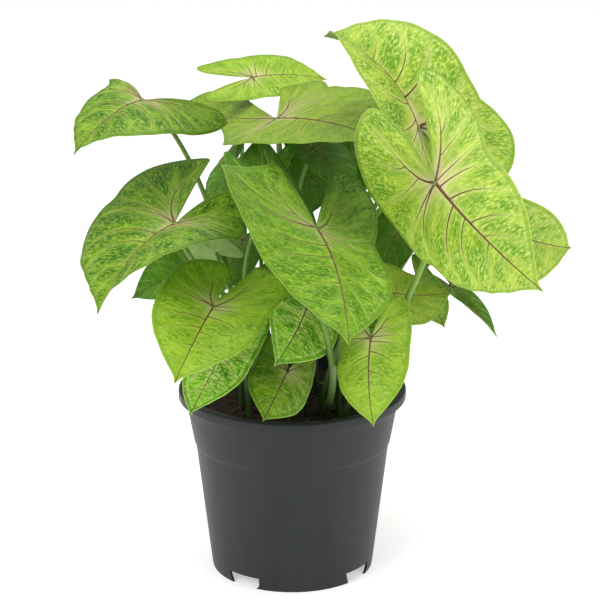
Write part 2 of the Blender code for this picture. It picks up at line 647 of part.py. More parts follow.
# Leaves: a blade shell of even thickness, joined to its stalk
stalks = helper_collection("stalks")
for leaf in LEAVES:
    points, triangles = blade_mesh(leaf, leaf.get("steps", 2))
    blade = add_mesh("leaf_" + leaf["name"], points, triangles, scene_root)
    blade.data.materials.append(leaf_green)
    shell = blade.modifiers.new("thickness", "SOLIDIFY")
    shell.thickness = BLADE_THICK * MM
    shell.offset = 0.0
    shell.use_even_offset = False

    line = stalk_line(leaf, STALK_POINTS)
    low_radius, high_radius = stalk_radius(leaf)
    curve = bpy.data.curves.new("stalk", "CURVE")
    curve.dimensions = "3D"
    curve.bevel_depth = 1.0 * MM
    curve.bevel_resolution = 1
    curve.use_fill_caps = True
    spline = curve.splines.new("POLY")
    spline.points.add(len(line) - 1)
    for i, (point, at) in enumerate(zip(spline.points, line)):
        point.co = (*(float(c) * MM for c in at), 1.0)
        point.radius = low_radius + (high_radius - low_radius) * i / (len(line) - 1)
    sweep = bpy.data.objects.new("stalk_curve", curve)
    scene_root.objects.link(sweep)
    graph = bpy.context.evaluated_depsgraph_get()
    tube = bpy.data.meshes.new_from_object(sweep.evaluated_get(graph))
    bpy.data.objects.remove(sweep, do_unlink=True)
    face_outwards(tube)
    stalk = bpy.data.objects.new("stalk_" + leaf["name"], tube)
    stalks.objects.link(stalk)
    stalk.hide_render = True
    stalk.display_type = "WIRE"
    joining = blade.modifiers.new("stalk", "BOOLEAN")
    joining.operation = "UNION"
    joining.object = stalk
    joining.solver = "MANIFOLD"

# Every piece moves by the same step, so that the origin lies under the middle of the plant
for made in bpy.data.objects:
    made.location = (POT_AXIS[0] * MM, POT_AXIS[1] * MM, 0.0)
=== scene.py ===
import math

import bmesh
import bpy
import numpy as np
from mathutils import Matrix, Vector


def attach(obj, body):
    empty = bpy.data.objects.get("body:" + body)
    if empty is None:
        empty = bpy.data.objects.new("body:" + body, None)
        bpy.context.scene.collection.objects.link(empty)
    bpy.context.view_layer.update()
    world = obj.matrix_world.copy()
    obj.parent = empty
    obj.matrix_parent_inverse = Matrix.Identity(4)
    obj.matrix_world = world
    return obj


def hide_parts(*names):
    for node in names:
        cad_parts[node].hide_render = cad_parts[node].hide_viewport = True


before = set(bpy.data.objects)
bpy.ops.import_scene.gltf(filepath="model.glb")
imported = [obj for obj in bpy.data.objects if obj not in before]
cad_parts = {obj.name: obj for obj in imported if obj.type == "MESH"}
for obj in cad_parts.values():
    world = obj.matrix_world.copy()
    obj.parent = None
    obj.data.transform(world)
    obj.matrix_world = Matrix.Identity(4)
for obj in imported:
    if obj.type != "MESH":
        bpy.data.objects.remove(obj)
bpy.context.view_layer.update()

# Camera, floor and light
# The plant stands on a white sheet in a bright studio, seen with a long lens from 17 degrees above level.
# Broad lamps stand left and right of the camera, and a third hangs over the plant.
MM = 0.001
AIM = Vector((-20.0, 26.9, 159.0)) * MM
CAMERA_AT = Vector((-20.0, -1168.5, 524.5)) * MM
LENS_PIXELS = 2212.0
FRAME_PIXELS = 600.0
SHEET_REACH = 6.0
WHITE = (1.0, 1.0, 1.0, 1.0)


def link(name, data):
    """A new object in the scene, from its mesh, lamp or camera data."""
    made = bpy.data.objects.new(name, data)
    bpy.context.scene.collection.objects.link(made)
    return made


def face_plant(made, at):
    """Stands a camera or a lamp at a place in metres, turned to the plant."""
    made.location = at
    made.rotation_euler = (AIM - Vector(at)).to_track_quat("-Z", "Y").to_euler()


camera_data = bpy.data.cameras.new("camera")
camera_data.sensor_width = 36.0
camera_data.lens = camera_data.sensor_width * LENS_PIXELS / FRAME_PIXELS
camera_data.clip_end = 10.0
camera = link("camera", camera_data)
face_plant(camera, CAMERA_AT)
bpy.context.scene.camera = camera
bpy.context.scene.view_settings.view_transform = "Standard"

# Each lamp is a soft square: its place and side in metres, then its power in watts.
for name, at, side, power in (
    ("lamp_left", (-1.0, -1.1, 1.1), 0.9, 13.0),
    ("lamp_right", (1.2, -0.9, 0.7), 1.0, 6.0),
    ("lamp_over", (0.1, 0.1, 1.6), 1.2, 14.0),
):
    lamp_data = bpy.data.lights.new(name, "AREA")
    lamp_data.size = side
    lamp_data.energy = power
    face_plant(link(name, lamp_data), at)


def set_inputs(tree, node, settings):
    """Sets a node's inputs by name: to a value, or wired from another node's socket."""
    for name, value in settings.items():
        if isinstance(value, bpy.types.NodeSocket):
            tree.links.new(value, node.inputs[name])
        else:
            node.inputs[name].default_value = value


def new_finish(name, colour, roughness):
    """A Principled material with its node tree and shader, to build on. The colour is linear RGB."""
    made = bpy.data.materials.new(name)
    made.use_nodes = True
    shader = made.node_tree.nodes["Principled BSDF"]
    set_inputs(made.node_tree, shader, {"Base Color": (*colour, 1.0), "Roughness": roughness})
    return made, made.node_tree, shader


studio = bpy.data.worlds.new("studio")
studio.use_nodes = True
tree = studio.node_tree
set_inputs(tree, tree.nodes["Background"], {"Color": WHITE, "Strength": 0.45})
bpy.context.scene.world = studio

sheet_finish, tree, shader = new_finish("white_sheet", (0.93, 0.93, 0.93), 0.9)
set_inputs(tree, shader, {"Emission Color": WHITE, "Emission Strength": 0.46})
sheet_mesh = bpy.data.meshes.new("studio_sheet")
sheet_corners = [(x * SHEET_REACH, y * SHEET_REACH, 0.0) for x, y in ((-1, -1), (1, -1), (1, 1), (-1, 1))]
sheet_mesh.from_pydata(sheet_corners, [], [(0, 1, 2, 3)])
sheet_mesh.materials.append(sheet_finish)
link("studio_sheet", sheet_mesh)

# Pot
# The pot is a thin grower's pot, injection moulded in dark grey-green polypropylene, 13 cm across its lip.
# Its collar steps out a little near the top, and the foot has four low cut-outs for water to run off.
POT_AXIS = np.array((-24.4, 26.9, 0.0))
POT_HEIGHT = 108.0
LIP_RADIUS = 65.0
LIP_DEPTH = 5.5
LIP_ROUND = 1.2
LIP_EDGE_ROUND = 0.6
FOOT_ROUND = 0.5
BASE_RADIUS = 46.5
WALL_TAPER = 0.119
STEP_HEIGHT = 76.0
STEP_RISE = 1.2
STEP_OUT = 0.7
COLLAR_TAPER = 0.18
WALL = 1.5
FLOOR_UNDER = 7.0
FLOOR_THICK = 1.6
POT_STEPS = 144
CUTOUT_ANGLES = (-35.0, 55.0, 145.0, 235.0)
CUTOUT_WIDE = 23.0
CUTOUT_LEAN = 2.5
DRAIN_RADIUS = 4.0
DRAIN_RING = 27.0
DRAIN_COUNT = 6
DRAIN_SIDES = 32
SHARP_FROM = 38.0


def wall_radius(height):
    """Outer radius of the wall below the lip, in millimetres."""
    if height <= STEP_HEIGHT:
        return BASE_RADIUS + WALL_TAPER * height
    return BASE_RADIUS + WALL_TAPER * STEP_HEIGHT + STEP_OUT + COLLAR_TAPER * (height - STEP_HEIGHT)


def round_corner(corner, radius, start, end, steps):
    """Points of a small arc round a centre in a profile, with its angles in degrees from +R towards +Z."""
    arc = []
    for i in range(steps + 1):
        turn = math.radians(start + (end - start) * i / steps)
        arc.append((corner[0] + radius * math.cos(turn), corner[1] + radius * math.sin(turn)))
    return arc


def settle(made):
    """Applies the modifiers to the mesh."""
    bpy.context.view_layer.update()
    graph = bpy.context.evaluated_depsgraph_get()
    mesh = bpy.data.meshes.new_from_object(made.evaluated_get(graph))
    made.modifiers.clear()
    made.data = mesh


def turn_profile(name, profile, steps):
    """Turns a closed (radius, height) profile round the pot's axis with a Screw."""
    mesh = bpy.data.meshes.new(name)
    edges = [(i, (i + 1) % len(profile)) for i in range(len(profile))]
    mesh.from_pydata([(r * MM, 0.0, z * MM) for r, z in profile], edges, [])
    made = link(name, mesh)
    screw = made.modifiers.new("turn", "SCREW")
    screw.angle = math.tau
    screw.steps = steps
    screw.render_steps = steps
    screw.use_merge_vertices = True
    screw.merge_threshold = 0.00002
    settle(made)
    return made


def circle(count):
    """The cosine and sine of so many even turns."""
    return [(math.cos(math.tau * k / count), math.sin(math.tau * k / count)) for k in range(count)]


def tube_faces(rings, sides):
    """Faces of a closed tube with so many rings of points. A flat end comes first, and the other last."""
    faces = [tuple(range(sides - 1, -1, -1))]
    for i in range(rings - 1):
        for k in range(sides):
            after = (k + 1) % sides
            faces.append((i * sides + k, i * sides + after, (i + 1) * sides + after, (i + 1) * sides + k))
    faces.append(tuple(range((rings - 1) * sides, rings * sides)))
    return faces


def cut_away(made, name, points):
    """Cuts a closed prism, from its two rings of points in millimetres, out of the piece."""
    mesh = bpy.data.meshes.new(name)
    mesh.from_pydata([tuple(np.array(point) * MM) for point in points], [], tube_faces(2, len(points) // 2))
    shape = bmesh.new()
    shape.from_mesh(mesh)
    bmesh.ops.recalc_face_normals(shape, faces=shape.faces)
    shape.to_mesh(mesh)
    shape.free()
    cutter = link(name, mesh)
    cut = made.modifiers.new("cut", "BOOLEAN")
    cut.operation = "DIFFERENCE"
    cut.object = cutter
    cut.solver = "EXACT"
    settle(made)
    bpy.data.objects.remove(cutter, do_unlink=True)


lip_under = POT_HEIGHT - LIP_DEPTH
inner_floor = FLOOR_UNDER + FLOOR_THICK
step_top = STEP_HEIGHT + STEP_RISE
mouth_radius = wall_radius(lip_under) - WALL
collar_heights = [lip_under + (step_top - lip_under) * share for share in (0.25, 0.5, 0.75)]
pot_profile = round_corner((LIP_RADIUS - LIP_ROUND, POT_HEIGHT - LIP_ROUND), LIP_ROUND, 90, 0, 6)
pot_profile += round_corner((LIP_RADIUS - LIP_EDGE_ROUND, lip_under + LIP_EDGE_ROUND), LIP_EDGE_ROUND, 0, -90, 4)
pot_profile += [(wall_radius(lip_under) + 0.3, lip_under)]
for height in (lip_under - 0.4, *collar_heights, STEP_HEIGHT + 1.3):
    pot_profile.append((wall_radius(height), height))
pot_profile += [(wall_radius(STEP_HEIGHT + 0.8) - 0.05, STEP_HEIGHT + 0.8)]
pot_profile += [(wall_radius(STEP_HEIGHT) + 0.1, STEP_HEIGHT + 0.1)]
for height in (STEP_HEIGHT - 0.8, 60.0, 45.0, 30.0, 15.0, 4.0):
    pot_profile.append((wall_radius(height), height))
pot_profile += round_corner((BASE_RADIUS - FOOT_ROUND, FOOT_ROUND), FOOT_ROUND, 0, -90, 3)
pot_profile += [(BASE_RADIUS - WALL, 0.0), (wall_radius(FLOOR_UNDER) - WALL, FLOOR_UNDER)]
pot_profile += [(0.0, FLOOR_UNDER), (0.0, inner_floor)]
pot_profile += [(wall_radius(height) - WALL, height) for height in (inner_floor, STEP_HEIGHT, step_top)]
pot_profile += [(mouth_radius, lip_under), (mouth_radius, POT_HEIGHT - LIP_ROUND)]
pot_profile += [(mouth_radius + 0.4, POT_HEIGHT - 0.3), (mouth_radius + LIP_ROUND, POT_HEIGHT)]
pot = turn_profile("nursery_pot", pot_profile, POT_STEPS)

half_gap = BASE_RADIUS * math.sin(math.radians(CUTOUT_WIDE / 2))
lean_gap = half_gap - CUTOUT_LEAN
gap_corners = [(-half_gap, -2.0), (lean_gap, -2.0), (lean_gap, 0.0), (half_gap - 1.0, 1.0), (half_gap, 3.0)]
gap_corners += [(half_gap, FLOOR_UNDER), (-half_gap - CUTOUT_LEAN, FLOOR_UNDER), (-half_gap, 0.0)]
for angle in CUTOUT_ANGLES:
    turn = math.radians(angle)
    outwards = np.array((math.sin(turn), -math.cos(turn), 0.0))
    sideways = np.array((math.cos(turn), math.sin(turn), 0.0))
    points = []
    for reach in (30.0, 60.0):
        points += [outwards * reach + sideways * across + (0.0, 0.0, height) for across, height in gap_corners]
    cut_away(pot, "foot_gap", points)
for at_x, at_y in circle(DRAIN_COUNT):
    points = []
    for height in (FLOOR_UNDER - 2.0, inner_floor + 2.0):
        for c, s in circle(DRAIN_SIDES):
            points.append((DRAIN_RING * at_x + DRAIN_RADIUS * c, DRAIN_RING * at_y + DRAIN_RADIUS * s, height))
    cut_away(pot, "drain_hole", points)
pot.data.transform(Matrix.Translation(Vector(POT_AXIS) * MM))
for polygon in pot.data.polygons:
    polygon.use_smooth = True
pot.data.set_sharp_from_angle(angle=math.radians(SHARP_FROM))


def add_node(tree, kind, settings):
    """A new shader node with its inputs set or wired by name."""
    node = tree.nodes.new("ShaderNode" + kind)
    set_inputs(tree, node, settings)
    return node


def noise_over(tree, vector, settings):
    """Noise over a vector, as a value."""
    return add_node(tree, "TexNoise", {"Vector": vector, **settings}).outputs["Fac"]


def object_place(tree, scale=None):
    """Where a point is on the object, in metres, stretched where a scale is given."""
    place = tree.nodes.new("ShaderNodeTexCoord").outputs["Object"]
    if scale is None:
        return place
    return add_node(tree, "Mapping", {"Vector": place, "Scale": scale}).outputs["Vector"]


def two_shades(tree, share, start, first, end, second):
    """A colour ramp from the first linear RGB colour, at the start, to the second, at the end."""
    ramp = add_node(tree, "ValToRGB", {"Fac": share})
    for element, position, colour in zip(ramp.color_ramp.elements, (start, end), (first, second)):
        element.position = position
        element.color = (*colour, 1.0)
    return ramp.outputs["Color"]


def relief(tree, height, strength, distance):
    """A bump from a height. The distance is in metres."""
    return add_node(tree, "Bump", {"Height": height, "Strength": strength, "Distance": distance})


pot_finish, tree, shader = new_finish("pot_plastic_finish", (0.023, 0.028, 0.027), 0.42)
flow = noise_over(tree, object_place(tree, (1.0, 1.0, 0.12)), {"Scale": 90.0, "Detail": 4.0})
grain = noise_over(tree, object_place(tree), {"Scale": 1400.0, "Detail": 2.0})
gloss = add_node(tree, "MapRange", {"Value": flow, "To Min": 0.40, "To Max": 0.54})
pot_look = {
    "Base Color": two_shades(tree, flow, 0.3, (0.0165, 0.0200, 0.0192), 0.7, (0.0230, 0.0270, 0.0258)),
    "Specular IOR Level": 0.28,
    "Roughness": gloss.outputs["Result"],
    "Normal": relief(tree, grain, 0.12, 0.0003).outputs["Normal"],
}
set_inputs(tree, shader, pot_look)
pot.data.materials.clear()
pot.data.materials.append(pot_finish)
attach(pot, "root")
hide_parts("pot")

# Soil
# The pot is filled with dark fibrous peat to 9 mm under its lip. Crumbs and short root fibres lie loose on it,
# pressed into the surface by watering.
SOIL_TOP = 99.0
SOIL_GAP = 0.3
SOIL_RINGS = 62
SOIL_TURNS = 180
NOISE_CELLS = 64
CRUMB_COUNT = 420
FIBRE_COUNT = 330
FIBRE_POINTS = 7
FIBRE_SIDES = 5
soil_chance = np.random.default_rng(4)


def value_noise(points, cell, seed):
    """Smooth noise from 0 to 1 at (n, 2) points, with lumps about as large as the cell."""
    table = np.random.default_rng(seed).random((NOISE_CELLS, NOISE_CELLS))
    scaled = points / cell + 1000.0
    low = np.floor(scaled).astype(int)
    part = scaled - low
    part = part * part * (3 - 2 * part)
    x0, y0 = low[:, 0] % NOISE_CELLS, low[:, 1] % NOISE_CELLS
    x1, y1 = (x0 + 1) % NOISE_CELLS, (y0 + 1) % NOISE_CELLS
    near = table[x0, y0] * (1 - part[:, 0]) + table[x1, y0] * part[:, 0]
    far = table[x0, y1] * (1 - part[:, 0]) + table[x1, y1] * part[:, 0]
    return near * (1 - part[:, 1]) + far * part[:, 1]


def soil_height(points):
    """Height of the loose surface over (n, 2) points, in millimetres from the pot's axis."""
    lumps = (value_noise(points, 11.0, 1) - 0.5) * 1.8 + (value_noise(points, 4.5, 2) - 0.5) * 1.6
    return SOIL_TOP + lumps + (value_noise(points, 1.7, 3) - 0.5) * 0.9


def mesh_of(name, points, faces):
    """A mesh at the pot's place, from points in millimetres round the pot's axis."""
    mesh = bpy.data.meshes.new(name)
    moved = (np.asarray(points, float) + POT_AXIS) * MM
    mesh.from_pydata(moved.tolist(), [], faces)
    mesh.update()
    return mesh


def random_spot(reach, inset):
    """A point of the soil, evenly spread over the disc, that stays inside its reach."""
    away = reach * math.sqrt(soil_chance.random()) - inset
    turn = math.tau * soil_chance.random()
    return np.array((away * math.cos(turn), away * math.sin(turn)))


soil_edge = wall_radius(SOIL_TOP) - WALL - SOIL_GAP
rings = [(0.0, 0.0)]
for i in range(1, SOIL_RINGS + 1):
    rings += [(soil_edge * i / SOIL_RINGS * c, soil_edge * i / SOIL_RINGS * s) for c, s in circle(SOIL_TURNS)]
rings = np.array(rings)
soil_points = np.column_stack([rings, soil_height(rings)]).tolist()
for height in (step_top, STEP_HEIGHT - 0.5, inner_floor + SOIL_GAP):
    side = wall_radius(height) - WALL - SOIL_GAP
    soil_points += [(side * c, side * s, height) for c, s in circle(SOIL_TURNS)]
faces = [(0, 1 + k, 1 + (k + 1) % SOIL_TURNS) for k in range(SOIL_TURNS)]
for i in range(SOIL_RINGS + 2):
    near = 1 + i * SOIL_TURNS
    far = near + SOIL_TURNS
    for k in range(SOIL_TURNS):
        after = (k + 1) % SOIL_TURNS
        faces.append((near + k, far + k, far + after, near + after))
faces.append(tuple(range(len(soil_points) - 1, len(soil_points) - 1 - SOIL_TURNS, -1)))
soil_mesh = mesh_of("peat_fill", soil_points, faces)

crumb_points = []
crumb_faces = []
ball = bmesh.new()
bmesh.ops.create_icosphere(ball, subdivisions=2, radius=1.0)
ball_points = np.array([vertex.co[:] for vertex in ball.verts])
ball_faces = np.array([[vertex.index for vertex in face.verts] for face in ball.faces])
ball.free()
for _ in range(CRUMB_COUNT):
    at = random_spot(soil_edge, 1.5)
    size = 0.45 + 1.3 * soil_chance.random() ** 3
    shape = ball_points * (1 + 0.35 * (soil_chance.random((len(ball_points), 1)) - 0.5))
    shape = shape * size * (0.8 + 0.5 * soil_chance.random(3))
    crumb_faces += (ball_faces + len(crumb_points) * len(ball_points)).tolist()
    crumb_points.append(shape + (at[0], at[1], soil_height(at[None, :])[0] + 0.2 * size))
crumb_mesh = mesh_of("peat_crumbs", np.vstack(crumb_points), crumb_faces)


def tube_points(centres, radii, sides):
    """Rings of points round a line. The radii follow the line."""
    centres = np.asarray(centres, float)
    steps = np.gradient(centres, axis=0)
    steps /= np.linalg.norm(steps, axis=1)[:, None]
    side = np.cross(steps[0], (0.31, 0.87, 0.38))
    points = []
    for centre, step, radius in zip(centres, steps, radii):
        side = side - step * np.dot(side, step)
        side /= np.linalg.norm(side)
        over = np.cross(step, side)
        points += [centre + radius * (side * c + over * s) for c, s in circle(sides)]
    return points


def add_tube(points, faces, more, sides):
    """Adds a tube's rings of points, and its faces, to those of a mesh."""
    faces += [tuple(index + len(points) for index in face) for face in tube_faces(len(more) // sides, sides)]
    points += more


fibre_points = []
fibre_faces = []
for _ in range(FIBRE_COUNT):
    at = random_spot(soil_edge - 6.0, 0.0)
    heading = math.tau * soil_chance.random()
    curl = (soil_chance.random() - 0.5) * 0.5
    length = 2.5 + 8.0 * soil_chance.random() ** 2
    line = []
    for k in range(FIBRE_POINTS):
        lift = 0.15 + 0.5 * math.sin(math.pi * k / (FIBRE_POINTS - 1)) * soil_chance.random()
        line.append((at[0], at[1], soil_height(at[None, :])[0] + lift))
        at = at + length / (FIBRE_POINTS - 1) * np.array((math.cos(heading), math.sin(heading)))
        heading += curl
        if np.linalg.norm(at) > soil_edge - 1.0:
            at *= (soil_edge - 1.0) / np.linalg.norm(at)
    thick = 0.12 + 0.16 * soil_chance.random()
    radii = [thick * 0.6] + [thick] * (FIBRE_POINTS - 2) + [thick * 0.5]
    add_tube(fibre_points, fibre_faces, tube_points(line, radii, FIBRE_SIDES), FIBRE_SIDES)
fibre_mesh = mesh_of("root_fibres", fibre_points, fibre_faces)

# Damp peat, crumbs and fibres: two browns in small patches with a rough grain, then their scale and roughness.
for name, finish_name, mesh, dark, light, scale, roughness in (
    ("peat_fill", "peat_surface", soil_mesh, (0.006, 0.0032, 0.0016), (0.036, 0.018, 0.008), 420.0, 0.95),
    ("peat_crumbs", "peat_crumb", crumb_mesh, (0.009, 0.0048, 0.0024), (0.050, 0.026, 0.012), 600.0, 0.92),
    ("root_fibres", "root_fibre", fibre_mesh, (0.055, 0.026, 0.011), (0.150, 0.078, 0.036), 300.0, 0.85),
):
    finish, tree, shader = new_finish(finish_name, dark, roughness)
    patches = noise_over(tree, object_place(tree), {"Scale": scale, "Detail": 8.0, "Roughness": 0.7})
    soil_look = {
        "Base Color": two_shades(tree, patches, 0.35, dark, 0.72, light),
        "Normal": relief(tree, patches, 0.6, 0.001).outputs["Normal"],
    }
    set_inputs(tree, shader, soil_look)
    mesh.materials.append(finish)
    piece = link(name, mesh)
    for polygon in mesh.polygons:
        polygon.use_smooth = name != "root_fibres"
    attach(piece, "root")
    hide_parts("soil")

# Leaves
# Each leaf is one soft blade, about 0.4 mm thick, that grew as one with its round green stalk out of the peat.
# It is arrow shaped, with two lobes behind the stalk, and carries thin brown-red veins above and pale ribs below.
FRONT_OUTLINE = ((1.0, 0.0), (0.93, 0.09), (0.80, 0.42), (0.60, 0.80), (0.38, 0.98), (0.15, 1.0))
LOBE_OUTER = ((0.25, 0.0), (0.60, 0.16), (0.90, 0.60))
LOBE_INNER = ((1.0, 0.85), (0.93, 0.52), (0.62, 0.27), (0.30, 0.12))
LOBE_OUTER_SHARP = ((0.25, 0.10), (0.60, 0.46), (0.90, 0.88))
LOBE_INNER_SHARP = ((1.0, 1.0), (0.93, 0.82), (0.62, 0.46), (0.30, 0.18))
FRONT_SPINE = (1.0, 0.93, 0.76, 0.52, 0.30, 0.10)
STALK_DEPTH = 14.7
STALK_POINTS = 30
STALK_SIDES = 14
STALK_FOOT = 1.08
STALK_CROOK = 0.3
BLADE_THICK = 0.40
MARGIN_THICK = 0.16
LARGE_LEAF = 60.0
FULL_VEINS = 85.0
VEIN_SIDES = 8
MIDRIB_WIDE = 1.04
SIDE_VEINS = (
    # where it leaves the midrib, where it ends ahead, its half width, how pale it starts
    (0.03, 0.14, 0.68, -0.7),
    (0.20, 0.46, 0.64, -0.6),
    (0.37, 0.64, 0.50, -0.3),
    (0.54, 0.78, 0.38, 0.2),
    (0.70, 0.88, 0.30, 0.4),
)
LOBE_VEINS = ((0.35, 0.40, 0.90), (0.6, 0.66, 0.72))
QUILT_RISE = 1.05
QUILT_REACH = 5.0
WAVE_RISE = 0.8
WAVE_COUNT = 9
BLADE_DROP = 0.70
HALF_APART = 500.0
RIM_GRAIN = 50.0
UPPER, UNDER, VEIN, RIB, STALK = range(5)


def smooth_line(points, steps):
    """Points on the Catmull-Rom curve through the given points, with this many steps between two of them."""
    points = np.asarray(points, float)
    ends = np.vstack([2 * points[0] - points[1], points, 2 * points[-1] - points[-2]])
    line = []
    for i in range(1, len(ends) - 2):
        a, b, c, d = ends[i - 1 : i + 3]
        for k in range(steps):
            t = k / steps
            line.append(b + 0.5 * t * (c - a + t * (2 * a - 5 * b + 4 * c - d + t * (3 * (b - c) + d - a))))
    line.append(points[-1])
    return np.array(line)


def half_blade(length, wide, lobe, spread, point):
    """One half's margin, from the tip round the lobe to the junction, and where its rows meet the midrib."""
    margin = [(u * length, v * wide * length) for u, v in FRONT_OUTLINE]
    for (back, moved), (_, sharp) in zip(LOBE_OUTER, LOBE_OUTER_SHARP):
        moved += (sharp - moved) * point
        bulge = 0.036 * math.sin(math.pi * back) * (1 - point)
        out = 0.98 * wide * (1 - moved) + spread * moved + bulge
        margin.append((-back * lobe * length, out * length))
    for (back, out), (_, sharp) in zip(LOBE_INNER, LOBE_INNER_SHARP):
        out += (sharp - out) * point
        margin.append((-back * lobe * length, out * spread * length))
    margin.append((0.0, 0.0))
    spine = [s * length for s in FRONT_SPINE] + [0.0] * (len(margin) - len(FRONT_SPINE))
    return np.array(margin), np.array(spine)


def blade_length(leaf):
    """Length of the midrib from the junction to the tip, along its arc."""
    chord = np.linalg.norm(np.subtract(leaf["tip"], leaf["joint"]))
    half = math.radians(leaf["bow"]) / 2
    return chord * half / math.sin(half)


def leaf_axes(leaf):
    """Unit vectors of the chord, of the blade's upper side and of its left side, seen from above."""
    along = np.subtract(leaf["tip"], leaf["joint"]).astype(float)
    along /= np.linalg.norm(along)
    up = np.array((0.0, 0.0, 1.0)) - along * along[2]
    up /= np.linalg.norm(up)
    left = np.cross(up, along)
    roll = math.radians(leaf["roll"])
    up = up * math.cos(roll) + left * math.sin(roll)
    return along, up, np.cross(up, along)


def bend_blade(leaf, flat):
    """Moves flat points (x along the midrib, y to the left) onto the leaf's bowed and folded blade."""
    along, up, left = leaf_axes(leaf)
    length = blade_length(leaf)
    x = flat[:, 0]
    y = flat[:, 1]
    bow = math.radians(leaf["bow"])
    start = bow / 2
    ahead = np.maximum(x, 0)
    behind = np.minimum(x, 0)
    pitch = start - bow * ahead / length
    run = (math.sin(start) - np.sin(pitch)) * length / bow
    rise = (np.cos(pitch) - math.cos(start)) * length / bow
    droop = math.radians(leaf["droop"]) / length
    back_pitch = start + droop * behind
    run += (np.sin(back_pitch) - math.sin(start)) / droop
    rise += (math.cos(start) - np.cos(back_pitch)) / droop
    pitch = np.where(x < 0, back_pitch, pitch)
    centre = np.array(leaf["joint"]) + np.outer(run, along) + np.outer(rise, up)
    out = np.outer(np.cos(pitch), up) - np.outer(np.sin(pitch), along)
    twist = np.radians(leaf["twist"]) * x / length
    side = left * np.cos(twist)[:, None] - out * np.sin(twist)[:, None]
    out = out * np.cos(twist)[:, None] + left * np.sin(twist)[:, None]
    fold = math.radians(leaf["fold"])
    cup = math.radians(leaf["cup"]) / (0.42 * length)
    reach = np.abs(y)
    across = (np.sin(fold + cup * reach) - math.sin(fold)) / cup * np.sign(y)
    lift = (math.cos(fold) - np.cos(fold + cup * reach)) / cup
    return centre + side * across[:, None] + out * lift[:, None]


def blade_facing(leaf, flat):
    """Unit vectors that stand on the blade's upper side over flat points."""
    step = 0.2
    ahead = bend_blade(leaf, flat + (step, 0.0)) - bend_blade(leaf, flat - (step, 0.0))
    aside = bend_blade(leaf, flat + (0.0, step)) - bend_blade(leaf, flat - (0.0, step))
    facing = np.cross(ahead, aside)
    return facing / np.linalg.norm(facing, axis=1)[:, None]


def arch(start, middle, end, steps):
    """Points on a quadratic curve from start to end, pulled towards the middle point."""
    t = np.linspace(0, 1, steps)[:, None]
    return (1 - t) ** 2 * np.array(start) + 2 * t * (1 - t) * np.array(middle) + t * t * np.array(end)


def lean_over(leaf, side, points):
    """Puts the points of one half on its side of the midrib. The lobes lean together behind the junction."""
    placed = np.array(points, float)
    placed[:, 1] = side * placed[:, 1] + leaf["lean"] * np.maximum(-placed[:, 0], 0.0)
    return placed


def leaf_halves(leaf):
    """The left and the right half: its side, then its width, lobe length, spread and point."""
    shapes = zip(leaf["wide"], leaf["lobes"], leaf["spread"], leaf["point"])
    return list(zip((1, -1), shapes))


def vein_scale(leaf):
    """A leaf under the full length has finer veins and lower quilting, in proportion."""
    return min(1.0, blade_length(leaf) / FULL_VEINS)


def blade_veins(leaf):
    """The veins as flat lines. Each has its half width at both ends, and how pale it is at both ends."""
    length = blade_length(leaf)
    size = vein_scale(leaf)
    midrib = arch((-0.5, 0.0), (0.5 * length, 0.0), (0.985 * length, 0.0), 36)
    veins = [(midrib, MIDRIB_WIDE * size, 0.24, -0.1, 0.20)]
    for side, shape in leaf_halves(leaf):
        wide, lobe, spread, point = shape
        margin, _ = half_blade(length, *shape)
        front = smooth_line(margin, 5)[: (len(FRONT_OUTLINE) - 1) * 5 + 1]
        for i, (near, far, width, pale) in enumerate(SIDE_VEINS):
            near += 0.025 * side * (-1) ** i
            half = np.interp(far * length, front[::-1, 0], front[::-1, 1])
            end = (far * length, 0.90 * half)
            middle = ((near + 0.22 * (far - near)) * length, 0.62 * half)
            line = arch((near * length, 0.0), middle, end, 22)
            veins.append((lean_over(leaf, side, line), width * size, 0.08, pale, 1.2))
        back = lobe * length
        offset = spread * length
        base = wide * length
        spine = arch((0.0, 0.0), (-0.22 * back, 0.34 * base), (-0.84 * back, 0.62 * offset + 0.08 * base), 22)
        veins.append((lean_over(leaf, side, spine), 0.80 * size, 0.14, -0.7, 1.0))
        shoulder = arch((0.0, 0.0), (0.0, 0.45 * base), (-0.10 * back, 0.90 * base), 18)
        veins.append((lean_over(leaf, side, shoulder), 0.64 * size, 0.12, -0.7, 1.2))
        for share, end_back, end_out in LOBE_VEINS:
            start = spine[int(share * 21)]
            round_end = np.interp(end_back, *zip(*LOBE_OUTER))
            sharp_end = np.interp(end_back, *zip(*LOBE_OUTER_SHARP))
            moved = round_end + (sharp_end - round_end) * point
            out = (0.98 * wide * (1 - moved) + spread * moved) * length * end_out
            middle = (start[0] - 0.05 * back, 0.5 * (start[1] + out))
            line = arch(start, middle, (-end_back * back, out), 14)
            veins.append((lean_over(leaf, side, line), 0.38 * size, 0.10, -0.2, 1.3))
    return veins


def vein_distance(veins, flat):
    """Distance from each flat point to the nearest vein, in millimetres."""
    nearest = np.full(len(flat), 1e9)
    for line, *_ in veins:
        for a, b in zip(line, line[1:]):
            along = b - a
            share = np.clip(((flat - a) @ along) / max(along @ along, 1e-9), 0, 1)
            nearest = np.minimum(nearest, np.linalg.norm(flat - a - share[:, None] * along, axis=1))
    return nearest


